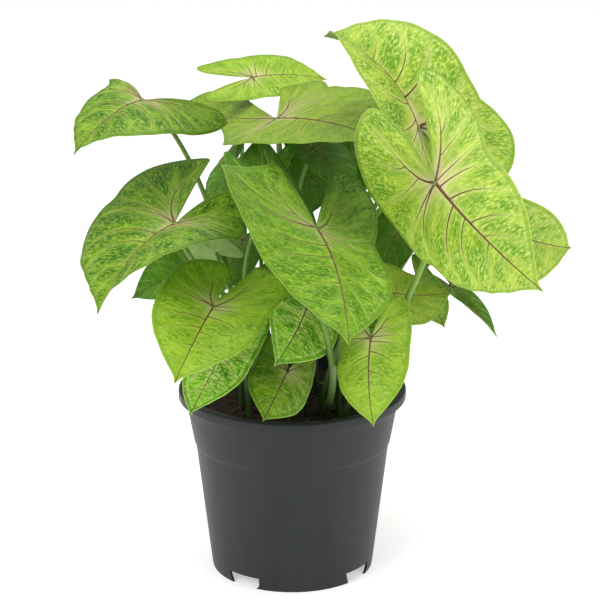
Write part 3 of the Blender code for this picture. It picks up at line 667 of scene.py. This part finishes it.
def blade_surface(leaf, veins, flat):
    """Middle surface of the finished blade: bent, quilted between its veins and waved along its margin."""
    gap = vein_distance(veins, flat)
    length = blade_length(leaf)
    size = vein_scale(leaf)
    quilt = QUILT_RISE * size * (1 - np.exp(-((gap / (QUILT_REACH * size)) ** 2)))
    radius = np.linalg.norm(flat, axis=1)
    turn = np.arctan2(flat[:, 1], flat[:, 0])
    reach = np.clip(np.abs(flat[:, 1]) / (0.45 * length), 0, 1)
    wave = np.sin(turn * WAVE_COUNT + leaf["tip"][0]) * WAVE_RISE * size
    wave = wave * reach**2 * np.clip(radius / length, 0, 1)
    return bend_blade(leaf, flat) + blade_facing(leaf, flat) * (quilt + wave - BLADE_DROP * size)[:, None], gap


def stalk_line(leaf):
    """The stalk's middle line: upright in its hole, then one smooth curve up to the junction."""
    foot = np.array((*leaf["root"], SOIL_TOP + 2.0))
    along, up, _ = leaf_axes(leaf)
    end = bend_blade(leaf, np.array([(1.2, 0.0)]))[0]
    arrive = 0.6 * up + leaf.get("crook", STALK_CROOK) * along + np.array((0.0, 0.0, 0.6))
    arrive /= np.linalg.norm(arrive)
    reach = np.linalg.norm(end - foot)
    first = foot + np.array((*leaf["sway"], 0.45 * reach))
    second = end - 0.3 * reach * arrive
    line = [(*leaf["root"], SOIL_TOP - STALK_DEPTH)]
    for i in range(STALK_POINTS):
        t = i / (STALK_POINTS - 1)
        s = 1 - t
        line.append(s**3 * foot + 3 * s * s * t * first + 3 * s * t * t * second + t**3 * end)
    return np.array(line)


def stalk_radii(leaf):
    """Radius at each point of the stalk's line: a larger leaf has a thicker stalk, widest in its hole."""
    low = (1.0 + 0.009 * blade_length(leaf)) * STALK_FOOT
    high = 0.8 + 0.006 * blade_length(leaf)
    return np.concatenate([[low], np.linspace(low, high, STALK_POINTS)])


def blade_points(leaf, halves, across):
    """Flat points of the blade, how far each is from the margin, and which point each row and column has."""
    rows = len(halves[0][1])
    flat = [(blade_length(leaf), 0.0), (0.0, 0.0)]
    rim_gap = [0.0, 0.0]
    shared = {}
    index = np.zeros((2, rows, across + 1), int)
    for h, (side, rim, middle) in enumerate(halves):
        placed = lean_over(leaf, side, rim)
        for i in range(1, rows):
            for k in range(across + 1):
                if i == rows - 1 or (k == 0 and middle[i] < 0.01):
                    index[h, i, k] = 1
                elif k == 0 and i in shared:
                    index[h, i, k] = shared[i]
                else:
                    share = k / across
                    start = np.array((middle[i], 0.0))
                    flat.append(tuple(start + (placed[i] - start) * share))
                    rim_gap.append((1 - share) * np.linalg.norm(placed[i] - start))
                    index[h, i, k] = len(flat) - 1
                    if k == 0:
                        shared[i] = index[h, i, k]
    return np.array(flat), np.array(rim_gap), index


def blade_mesh(leaf, veins, steps, across):
    """Closed mesh of the blade, with its two sides and its rim, and what its finish needs at each point."""
    length = blade_length(leaf)
    halves = []
    for side, shape in leaf_halves(leaf):
        margin, spine = half_blade(length, *shape)
        middle = np.maximum(smooth_line(np.column_stack([spine, spine]), steps)[:, 0], 0.0)
        middle[steps * len(FRONT_SPINE) :] = 0.0
        halves.append((side, smooth_line(margin, steps), middle))
    flat, rim_gap, index = blade_points(leaf, halves, across)
    points, gap = blade_surface(leaf, veins, flat)
    facing = blade_facing(leaf, flat)
    thick = BLADE_THICK - (BLADE_THICK - MARGIN_THICK) * np.exp(-rim_gap / 1.5)
    upper = points + facing * thick[:, None] / 2
    lower = points - facing * thick[:, None] / 2
    count = len(flat)
    faces = []
    kinds = []
    grain = []
    for h, (side, rim, middle) in enumerate(halves):
        arc = np.concatenate([[0.0], np.cumsum(np.linalg.norm(np.diff(rim, axis=0), axis=1))])
        for i in range(len(rim) - 1):
            for k in range(across):
                ids = []
                spots = []
                for row, column in ((i, k), (i, k + 1), (i + 1, k + 1), (i + 1, k))[::side]:
                    if index[h, row, column] in ids:
                        continue
                    ids.append(index[h, row, column])
                    reach = np.linalg.norm(rim[row] - (middle[row], 0.0)) * column / across
                    spots.append((arc[row] + HALF_APART * h, reach, 0.0))
                if len(ids) < 3:
                    continue
                faces += [tuple(ids), tuple(j + count for j in ids[::-1])]
                kinds += [UPPER, UNDER]
                grain += spots + spots[::-1]
            first, second = (index[h, i, across], index[h, i + 1, across])[::side]
            faces.append((second, first, first + count, second + count))
            kinds.append(UPPER)
            grain += [(arc[i] + HALF_APART * h, RIM_GRAIN, 0.0)] * 4
    heart = np.linalg.norm(flat, axis=1) / length
    measures = {"vein_gap": np.tile(gap, 2), "heart_reach": np.tile(heart, 2), "rim_gap": np.tile(rim_gap, 2)}
    return np.vstack([upper, lower]), faces, kinds, grain, measures


def vein_points(leaf, veins, line, start, end):
    """Rings of points of one vein, which stands a little proud of the upper side and further below."""
    centres, _ = blade_surface(leaf, veins, line)
    facing = blade_facing(leaf, line)
    steps = np.gradient(centres, axis=0)
    steps /= np.linalg.norm(steps, axis=1)[:, None]
    aside = np.cross(facing, steps)
    aside /= np.linalg.norm(aside, axis=1)[:, None]
    width = start + (end - start) * np.linspace(0, 1, len(line)) ** 0.8
    above = BLADE_THICK / 2 + 0.16 + 0.25 * width
    below = BLADE_THICK / 2 + 0.75 * width
    points = []
    for i in range(len(line)):
        for c, s in circle(VEIN_SIDES):
            high = above[i] if s > 0 else below[i]
            points.append(centres[i] + aside[i] * width[i] * c + facing[i] * high * s)
    return points


def vein_kinds(rings):
    """Which finish each face of a vein has: it is red above and a pale rib below, with red ends."""
    half = VEIN_SIDES // 2
    return [VEIN] + ([VEIN] * half + [RIB] * half) * (rings - 1) + [VEIN]


def ranged(tree, value, low, high, to_low, to_high):
    """A value's range moved to another one, smoothly and clamped."""
    limits = {"From Min": low, "From Max": high, "To Min": to_low, "To Max": to_high}
    node = add_node(tree, "MapRange", {"Value": value, **limits})
    node.interpolation_type = "SMOOTHSTEP"
    return node.outputs["Result"]


def times(tree, product, *others):
    """A value multiplied by other values or numbers."""
    for other in others:
        node = tree.nodes.new("ShaderNodeMath")
        node.operation = "MULTIPLY"
        tree.links.new(product, node.inputs[0])
        if isinstance(other, float):
            node.inputs[1].default_value = other
        else:
            tree.links.new(other, node.inputs[1])
        product = node.outputs[0]
    return product


def blended(tree, share, first, second):
    """Mixes two colours. Each is a socket or a linear RGB tuple."""
    node = add_node(tree, "Mix", {})
    node.data_type = "RGBA"
    tree.links.new(share, node.inputs["Factor"])
    for value, name in ((first, "A"), (second, "B")):
        socket = [s for s in node.inputs if s.name == name and s.type == "RGBA"][0]
        if isinstance(value, tuple):
            socket.default_value = (*value, 1.0)
        else:
            tree.links.new(value, socket)
    return [s for s in node.outputs if s.type == "RGBA"][0]


def between(first, second, share):
    """A plain colour this far from the first to the second."""
    return tuple((1 - share) * a + share * b for a, b in zip(first, second))


def reading(tree, name):
    """One of the blade's own point measures, as a node."""
    node = tree.nodes.new("ShaderNodeAttribute")
    node.attribute_name = name
    return node


def streak_noise(tree, scale, detail, seed):
    """Noise drawn out along the fine side veins: near them in one direction, across them in the other."""
    run = reading(tree, "side_vein_run").outputs["Vector"]
    place = {"Vector": run, "Scale": scale, "Location": (seed, seed * 0.37, 0.0)}
    vector = add_node(tree, "Mapping", place).outputs["Vector"]
    return noise_over(tree, vector, {"Scale": 1.0, "Detail": detail, "Roughness": 0.62, "Distortion": 0.5})


def blade_finish(name, light, deep, pale, mottle, halo, blush):
    """The upper side of one kind of leaf: mottled between the veins, paler beside them and pink at its heart."""
    made, tree, shader = new_finish(name, light, 0.42)
    gap = reading(tree, "vein_gap").outputs["Fac"]
    heart = reading(tree, "heart_reach").outputs["Fac"]
    rim = reading(tree, "rim_gap").outputs["Fac"]
    fine = streak_noise(tree, (0.85, 0.34, 1.0), 6.0, 3.0)
    broad = streak_noise(tree, (0.13, 0.05, 1.0), 3.0, 11.0)

    # Deep green flecks and clouds between the veins, and bright flecks among them
    cloud = ranged(tree, broad, 0.38, 0.62, 0.0, 1.0)
    away = ranged(tree, gap, 0.4, 4.0, 0.25, 1.0)
    outer = ranged(tree, heart, 0.04, 0.45, 0.30, 1.0)
    flecks = ranged(tree, fine, 0.535 - 0.08 * mottle, 0.585 - 0.05 * mottle, 0.0, 1.0)
    patchy = ranged(tree, broad, 0.30, 0.60, 0.35, 1.0)
    bright = ranged(tree, fine, 0.48, 0.36, 0.0, 0.55 * mottle)
    dark = times(tree, flecks, away, outer, 0.40 + 0.60 * mottle, patchy)
    colour = blended(tree, times(tree, cloud, 0.50 * mottle), light, deep)
    colour = blended(tree, dark, colour, deep)
    colour = blended(tree, times(tree, bright, away), colour, pale)

    # A pale halo beside the veins, and a pink heart
    beside = ranged(tree, gap, 0.2, 3.0, 1.0, 0.0)
    inner = ranged(tree, heart, 0.10, 0.95, 1.0, 0.10)
    broken = ranged(tree, fine, 0.36, 0.58, 1.0, 0.25)
    core = ranged(tree, heart, 0.0, 0.30, 1.0, 0.0)
    near = ranged(tree, gap, 0.3, 5.0, 1.0, 0.2)
    colour = blended(tree, times(tree, beside, inner, broken, halo), colour, pale)
    colour = blended(tree, times(tree, core, near, blush), colour, (0.72, 0.60, 0.36))

    # A deeper border with a broken pale line, where the side veins meet, and a pale margin
    border = ranged(tree, rim, 1.0, 6.0, 0.30 + 0.45 * mottle, 0.0)
    rise = ranged(tree, rim, 2.2, 3.2, 0.0, 1.0)
    fall = ranged(tree, rim, 3.3, 4.6, 1.0, 0.0)
    margin = ranged(tree, rim, 0.2, 0.9, 0.6, 0.0)
    colour = blended(tree, border, colour, between(light, deep, 0.65))
    colour = blended(tree, times(tree, rise, fall, broken, 0.55 * halo), colour, pale)
    colour = blended(tree, margin, colour, between(light, pale, 0.5))

    lift = relief(tree, fine, 0.70, 0.0005)
    blister = relief(tree, broad, 0.7, 0.002)
    set_inputs(tree, blister, {"Normal": lift.outputs["Normal"]})
    look = {
        "Base Color": colour,
        "Specular IOR Level": 0.25,
        "Subsurface Weight": 0.10,
        "Subsurface Radius": (0.4, 1.0, 0.15),
        "Subsurface Scale": 0.001,
        "Roughness": ranged(tree, fine, 0.3, 0.7, 0.36, 0.50),
        "Normal": blister.outputs["Normal"],
    }
    set_inputs(tree, shader, look)
    return made


def vein_finish(name, dark, darker, pale):
    """Veins on the upper side: brown-maroon where they start, fading to the pale green of a young rib."""
    made, tree, shader = new_finish(name, dark, 0.42)
    fade = ranged(tree, reading(tree, "vein_fade").outputs["Fac"], 0.15, 0.95, 0.0, 1.0)
    noise = noise_over(tree, object_place(tree), {"Scale": 260.0, "Detail": 3.0})
    colour = blended(tree, ranged(tree, noise, 0.35, 0.65, 0.0, 1.0), dark, darker)
    gloss = ranged(tree, noise, 0.3, 0.7, 0.36, 0.50)
    set_inputs(tree, shader, {"Base Color": blended(tree, fade, colour, pale), "Roughness": gloss})
    return made


def plain_finish(name, first, second, scale, roughness, foot=None):
    """Stalks, ribs and undersides: two close shades in soft patches, with a dark foot colour towards the peat
    that is painted shade under the leaves.
    """
    made, tree, shader = new_finish(name, first, roughness)
    noise = noise_over(tree, object_place(tree, scale), {"Scale": 100.0, "Detail": 4.0})
    colour = blended(tree, ranged(tree, noise, 0.35, 0.65, 0.0, 1.0), first, second)
    if foot is not None:
        # Painted shade: the colour darkens to the foot colour from 190 mm down to 100 mm above the floor, where
        # the leaves shade the stalks.
        split = add_node(tree, "SeparateXYZ", {"Vector": object_place(tree)})
        colour = blended(tree, ranged(tree, split.outputs["Z"], 0.10, 0.19, 1.0, 0.0), colour, foot)
    set_inputs(tree, shader, {"Base Color": colour, "Normal": relief(tree, noise, 0.2, 0.0003).outputs["Normal"]})
    return made


# Light green, deep green and pale halo; then how strong the mottling, the halo and the pink heart are.
LEAF_KINDS = {
    "lime_variegated": ((0.46, 0.61, 0.060), (0.105, 0.29, 0.010), (0.72, 0.78, 0.27), 0.88, 0.85, 0.85),
    "mid_green": ((0.235, 0.43, 0.018), (0.042, 0.155, 0.004), (0.46, 0.60, 0.11), 0.90, 0.50, 0.45),
    "plain_lime": ((0.34, 0.53, 0.026), (0.105, 0.27, 0.007), (0.56, 0.68, 0.14), 0.70, 0.45, 0.60),
    "mottled_green": ((0.225, 0.40, 0.014), (0.030, 0.135, 0.003), (0.46, 0.56, 0.11), 1.00, 0.65, 0.55),
    "olive_lime": ((0.29, 0.44, 0.022), (0.100, 0.235, 0.007), (0.47, 0.54, 0.12), 0.65, 0.45, 0.70),
    "dark_halo": ((0.260, 0.60, 0.014), (0.030, 0.160, 0.003), (0.95, 0.98, 0.36), 0.85, 1.00, 0.30),
    # The next kind is painted shade: a darkened copy of the leaf greens for the inner and back leaves, which lie
    # in the plant's own shade.
    "shade_green": ((0.090, 0.25, 0.007), (0.024, 0.105, 0.003), (0.24, 0.40, 0.06), 0.60, 0.45, 0.20),
}
blade_finishes = {name: blade_finish(f"blade_{name}", *look) for name, look in LEAF_KINDS.items()}
underside = plain_finish("blade_underside", (0.17, 0.30, 0.055), (0.24, 0.38, 0.085), (1.0, 1.0, 1.0), 0.55)
vein_red = vein_finish("vein_brown_maroon", (0.100, 0.040, 0.012), (0.150, 0.066, 0.020), (0.46, 0.54, 0.15))
rib_pale = plain_finish("rib_pale", (0.33, 0.46, 0.11), (0.41, 0.54, 0.16), (2.0, 2.0, 2.0), 0.45)
stalk_shades = ((0.10, 0.22, 0.018), (0.17, 0.31, 0.032))
# The stalks' last colour is painted shade: the dark green they take towards the peat, under the leaves.
stalk_green = plain_finish("stalk_green", *stalk_shades, (1.0, 1.0, 0.08), 0.42, (0.030, 0.060, 0.010))

# The blade's junction and tip, the stalk's root in the peat and its sway are in millimetres from the pot's axis.
# From roll to twist, degrees. The pairs are the left and the right half, in shares of the midrib's length.
LEAF_COLUMNS = "name kind joint tip root sway roll bow fold cup droop twist".split()
LEAF_COLUMNS += "wide lobes spread point lean crook".split()
LEAF_ROWS = (
    ("front_centre", "mid_green", (13, -97, 228), (28, -194, 196), (18, -28), (15, -93),
     26, 27, -9, 27, 21, -3, (0.32, 0.63), (0.86, 0.67), (0.08, 0.30), (0.00, 0.94), 0.31),
    ("right_large", "lime_variegated", (72, -114, 256), (123, -165, 213), (26, -40), (40, -18),
     -69, 41, -9, -34, 43, -20, (0.36, 0.56), (0.69, 0.70), (0.29, 0.32), (0.00, 0.00), 0.32),
    ("top_right", "lime_variegated", (68, -33, 266), (17, -5, 311), (15, 13), (-18, -2),
     22, 85, 38, -27, 22, -18, (0.50, 0.48), (0.62, 0.61), (0.35, 0.03), (0.39, 0.00), -0.53),
    ("right_back", "lime_variegated", (107, 39, 194), (164, 55, 174), (40, 13), (4, -4),
     -95, 57, 21, -12, 5, 5, (0.38, 0.49), (0.65, 0.65), (0.36, 0.36), (0.50, 0.50), 0.00),
    ("left_top", "mottled_green", (-80, -27, 280), (-114, -72, 260), (-29, -11), (1, -1),
     19, 50, 12, -42, 17, -34, (0.52, 0.41), (0.92, 0.21), (0.56, 0.52), (0.68, 0.56), -0.05, 1.20),
    ("top_middle", "olive_lime", (-9, 32, 257), (52, -79, 268), (-3, 15), (0, 4),
     -21, 18, 1, 1, 14, 10, (0.30, 0.29), (0.40, 0.98), (0.02, 0.80), (0.82, 0.00), 0.58),
    ("left_large", "mottled_green", (-61, -74, 224), (-99, -127, 190), (-24, -27), (-1, 0),
     9, 57, 19, -30, -12, -44, (0.49, 0.58), (0.83, 0.82), (0.27, 0.13), (0.13, 0.86), -0.37),
    ("lower_left", "plain_lime", (-40, -109, 189), (-58, -158, 164), (2, -3), (-14, 3),
     17, 28, 18, -5, 3, -1, (0.53, 0.47), (0.74, 0.64), (0.15, 0.21), (0.00, 0.00), 0.12),
    ("low_left_small", "dark_halo", (-35, -78, 158), (-54, -106, 128), (-13, -25), (5, 4),
     -1, -5, 8, -22, 5, -6, (0.46, 0.42), (0.65, 0.65), (0.36, 0.36), (0.50, 0.50), 0.00),
    ("low_centre_small", "mottled_green", (-2, -76, 143), (-15, -109, 126), (-2, -32), (-2, 0),
     36, 19, -7, -20, 1, -2, (0.44, 0.46), (0.62, 0.64), (0.34, 0.36), (0.49, 0.50), -0.08),
    ("low_centre", "dark_halo", (8, -61, 174), (-9, -102, 154), (5, -22), (-7, -5),
     49, 43, 9, -8, 5, -3, (0.44, 0.44), (0.65, 0.65), (0.36, 0.36), (0.50, 0.50), 0.00),
    ("low_right", "plain_lime", (42, -80, 163), (43, -104, 121), (26, -27), (-2, -4),
     -27, 47, -1, -24, 4, 2, (0.44, 0.42), (0.53, 0.59), (0.31, 0.36), (0.49, 0.52), -0.05),
    ("right_middle", "olive_lime", (41, -37, 179), (91, -4, 165), (15, -22), (7, -16),
     -34, -36, 2, -2, 5, 12, (0.45, 0.43), (0.65, 0.65), (0.36, 0.36), (0.50, 0.50), 0.00),
    ("top_back", "plain_lime", (-24, 105, 266), (21, 118, 262), (-29, 35), (10, -15),
     -22, 25, 5, -10, 5, 0, (0.48, 0.48), (0.65, 0.65), (0.36, 0.36), (0.50, 0.50), 0.00, 0.30),
    ("right_low", "mid_green", (72, 3, 167), (86, -9, 145), (29, -1), (2, -6),
     -15, 25, 8, -15, 5, 0, (0.42, 0.42), (0.65, 0.65), (0.36, 0.36), (0.50, 0.50), 0.00),
    ("right_curled", "shade_green", (91, 30, 159), (120, 34, 126), (33, 11), (1, 3),
     -75, 30, 45, 1, 5, 50, (0.16, 0.16), (0.35, 0.35), (0.15, 0.15), (0.50, 0.50), 0.00),
    ("right_inner", "shade_green", (91, 6, 217), (100, -6, 171), (41, 6), (-1, -3),
     -10, 25, 8, -15, 5, 0, (0.50, 0.50), (0.65, 0.65), (0.36, 0.36), (0.50, 0.50), 0.00),
    ("centre_inner", "shade_green", (-10, -39, 229), (10, -55, 187), (-16, -21), (-15, -3),
     0, 20, 8, -15, 5, 0, (0.46, 0.46), (0.65, 0.65), (0.36, 0.36), (0.50, 0.50), 0.00),
    ("left_cupped", "shade_green", (-32, 39, 231), (-48, 27, 204), (-18, 8), (-2, -4),
     0, 30, 10, -30, 5, 0, (0.45, 0.45), (0.60, 0.60), (0.36, 0.36), (0.50, 0.50), 0.00),
    ("upper_inner", "shade_green", (19, 91, 226), (-15, 91, 215), (8, 35), (2, 2),
     -25, 30, 8, -15, 5, 0, (0.50, 0.50), (0.60, 0.60), (0.36, 0.36), (0.50, 0.50), 0.00),
    ("left_under", "shade_green", (-58, 14, 176), (-91, -1, 160), (-22, -1), (-3, 2),
     60, 20, 25, -15, 5, 0, (0.36, 0.36), (0.65, 0.65), (0.36, 0.36), (0.50, 0.50), 0.00),
    ("left_inner", "shade_green", (-41, -11, 189), (-61, -13, 202), (-16, -7), (0, -5),
     -75, 20, 8, -15, 5, 0, (0.45, 0.45), (0.50, 0.50), (0.36, 0.36), (0.50, 0.50), 0.00),
    ("left_dark", "shade_green", (-53, 33, 182), (-79, 22, 173), (-21, 14), (-3, -18),
     45, 30, 8, -15, 5, 0, (0.42, 0.42), (0.65, 0.65), (0.36, 0.36), (0.50, 0.50), 0.00),
    ("low_behind", "shade_green", (9, -26, 151), (14, -37, 137), (8, -12), (-1, -4),
     10, 30, 8, -15, 5, 0, (0.42, 0.42), (0.65, 0.65), (0.36, 0.36), (0.50, 0.50), 0.00),
    ("back_left", "shade_green", (-36, 77, 188), (-58, 128, 157), (-14, 29), (5, -3),
     0, 35, 8, -15, 5, 0, (0.43, 0.43), (0.65, 0.65), (0.36, 0.36), (0.50, 0.50), 0.00),
    ("back_middle", "shade_green", (42, 65, 258), (48, 127, 231), (13, 24), (-5, 20),
     0, 35, 8, -15, 5, 0, (0.43, 0.43), (0.65, 0.65), (0.36, 0.36), (0.50, 0.50), 0.00),
    ("back_right", "shade_green", (57, 80, 219), (94, 125, 189), (23, 29), (5, -5),
     0, 35, 8, -15, 5, 0, (0.43, 0.43), (0.65, 0.65), (0.36, 0.36), (0.50, 0.50), 0.00),
    ("back_low_left", "shade_green", (-46, 77, 153), (-66, 116, 128), (-21, 33), (0, 5),
     0, 35, 8, -15, 5, 0, (0.43, 0.43), (0.65, 0.65), (0.36, 0.36), (0.50, 0.50), 0.00),
    ("back_low_right", "shade_green", (30, 88, 160), (51, 131, 134), (-2, 39), (1, -3),
     0, 35, 8, -15, 5, 0, (0.43, 0.43), (0.65, 0.65), (0.36, 0.36), (0.50, 0.50), 0.00),
    ("sprout", "shade_green", (19, -19, 115), (22, -27, 115), (20, -7), (7, 0),
     0, 40, 25, 20, 10, 1, (0.42, 0.42), (0.50, 0.50), (0.36, 0.36), (0.50, 0.50), 0.00),
    ("fill_middle", "shade_green", (12, 12, 244), (35, -1, 220), (6, 6), (2, 4),
     -10, 25, 6, 1, 20, 0, (0.50, 0.50), (0.60, 0.60), (0.36, 0.36), (0.50, 0.50), 0.00),
    ("fill_right", "shade_green", (63, 29, 196), (48, 19, 161), (19, 11), (9, -2),
     10, 25, 6, 1, 20, 0, (0.48, 0.48), (0.60, 0.60), (0.36, 0.36), (0.50, 0.50), 0.00),
    ("fill_left", "shade_green", (-17, -4, 234), (-31, -16, 204), (7, -4), (-4, 19),
     5, 25, 6, 1, 20, 0, (0.50, 0.50), (0.60, 0.60), (0.36, 0.36), (0.50, 0.50), 0.00),
    ("fill_low", "shade_green", (1, -21, 186), (-16, -33, 155), (-4, -7), (-3, -9),
     5, 25, 6, 1, 20, 0, (0.50, 0.50), (0.60, 0.60), (0.36, 0.36), (0.50, 0.50), 0.00),
    ("fill_upper", "shade_green", (39, 32, 239), (26, 17, 206), (26, 5), (2, 1),
     5, 25, 6, 1, 20, 0, (0.50, 0.50), (0.60, 0.60), (0.36, 0.36), (0.50, 0.50), 0.00),
    ("deep_centre", "shade_green", (15, 38, 235), (7, 24, 199), (5, 19), (19, -6),
     -10, 25, 6, 1, 20, 0, (0.60, 0.60), (0.70, 0.70), (0.40, 0.40), (0.40, 0.40), 0.00),
    ("deep_left", "shade_green", (-28, 11, 191), (-40, -1, 163), (-28, 17), (0, 1),
     5, 25, 6, 1, 20, 0, (0.60, 0.60), (0.70, 0.70), (0.40, 0.40), (0.40, 0.40), 0.00),
    ("deep_right", "shade_green", (81, 25, 243), (75, 15, 212), (30, 18), (-2, 7),
     5, 25, 6, 1, 20, 0, (0.60, 0.60), (0.70, 0.70), (0.40, 0.40), (0.40, 0.40), 0.00),
    ("deep_low", "shade_green", (33, -14, 157), (40, -26, 129), (-23, -7), (-3, -27),
     5, 25, 6, 1, 20, 0, (0.60, 0.60), (0.70, 0.70), (0.40, 0.40), (0.40, 0.40), 0.00),
)
LEAVES = [dict(zip(LEAF_COLUMNS, row)) for row in LEAF_ROWS]

for leaf in LEAVES:
    veins = blade_veins(leaf)
    steps, across = (6, 22) if blade_length(leaf) > LARGE_LEAF else (4, 14)
    points, faces, kinds, grain, measures = blade_mesh(leaf, veins, steps, across)
    points = points.tolist()
    fade = [0.0] * len(points)
    for line, start, end, dark, pale in veins:
        add_tube(points, faces, vein_points(leaf, veins, line, start, end), VEIN_SIDES)
        kinds += vein_kinds(len(line))
        fade += np.repeat(np.clip(np.linspace(dark, pale, len(line)), 0, 1), VEIN_SIDES).tolist()
    measures["vein_fade"] = fade
    add_tube(points, faces, tube_points(stalk_line(leaf), stalk_radii(leaf), STALK_SIDES), STALK_SIDES)
    kinds += [STALK] * (len(faces) - len(kinds))
    mesh = mesh_of(f"{leaf['name']}_blade_and_stalk", points, faces)
    for name, values in measures.items():
        full = np.zeros(len(points), np.float32)
        full[: len(values)] = values
        mesh.attributes.new(name, "FLOAT", "POINT").data.foreach_set("value", full)
    corners = np.zeros((len(mesh.loops), 3), np.float32)
    corners[: len(grain)] = grain
    mesh.attributes.new("side_vein_run", "FLOAT_VECTOR", "CORNER").data.foreach_set("vector", corners.ravel())
    for finish in (blade_finishes[leaf["kind"]], underside, vein_red, rib_pale, stalk_green):
        mesh.materials.append(finish)
    mesh.polygons.foreach_set("material_index", kinds)
    mesh.polygons.foreach_set("use_smooth", [True] * len(mesh.polygons))
    piece = link(f"{leaf['name']}_blade_and_stalk", mesh)
    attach(piece, "root")
    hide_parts(f"leaf_{leaf['name']}")

bpy.context.view_layer.update()
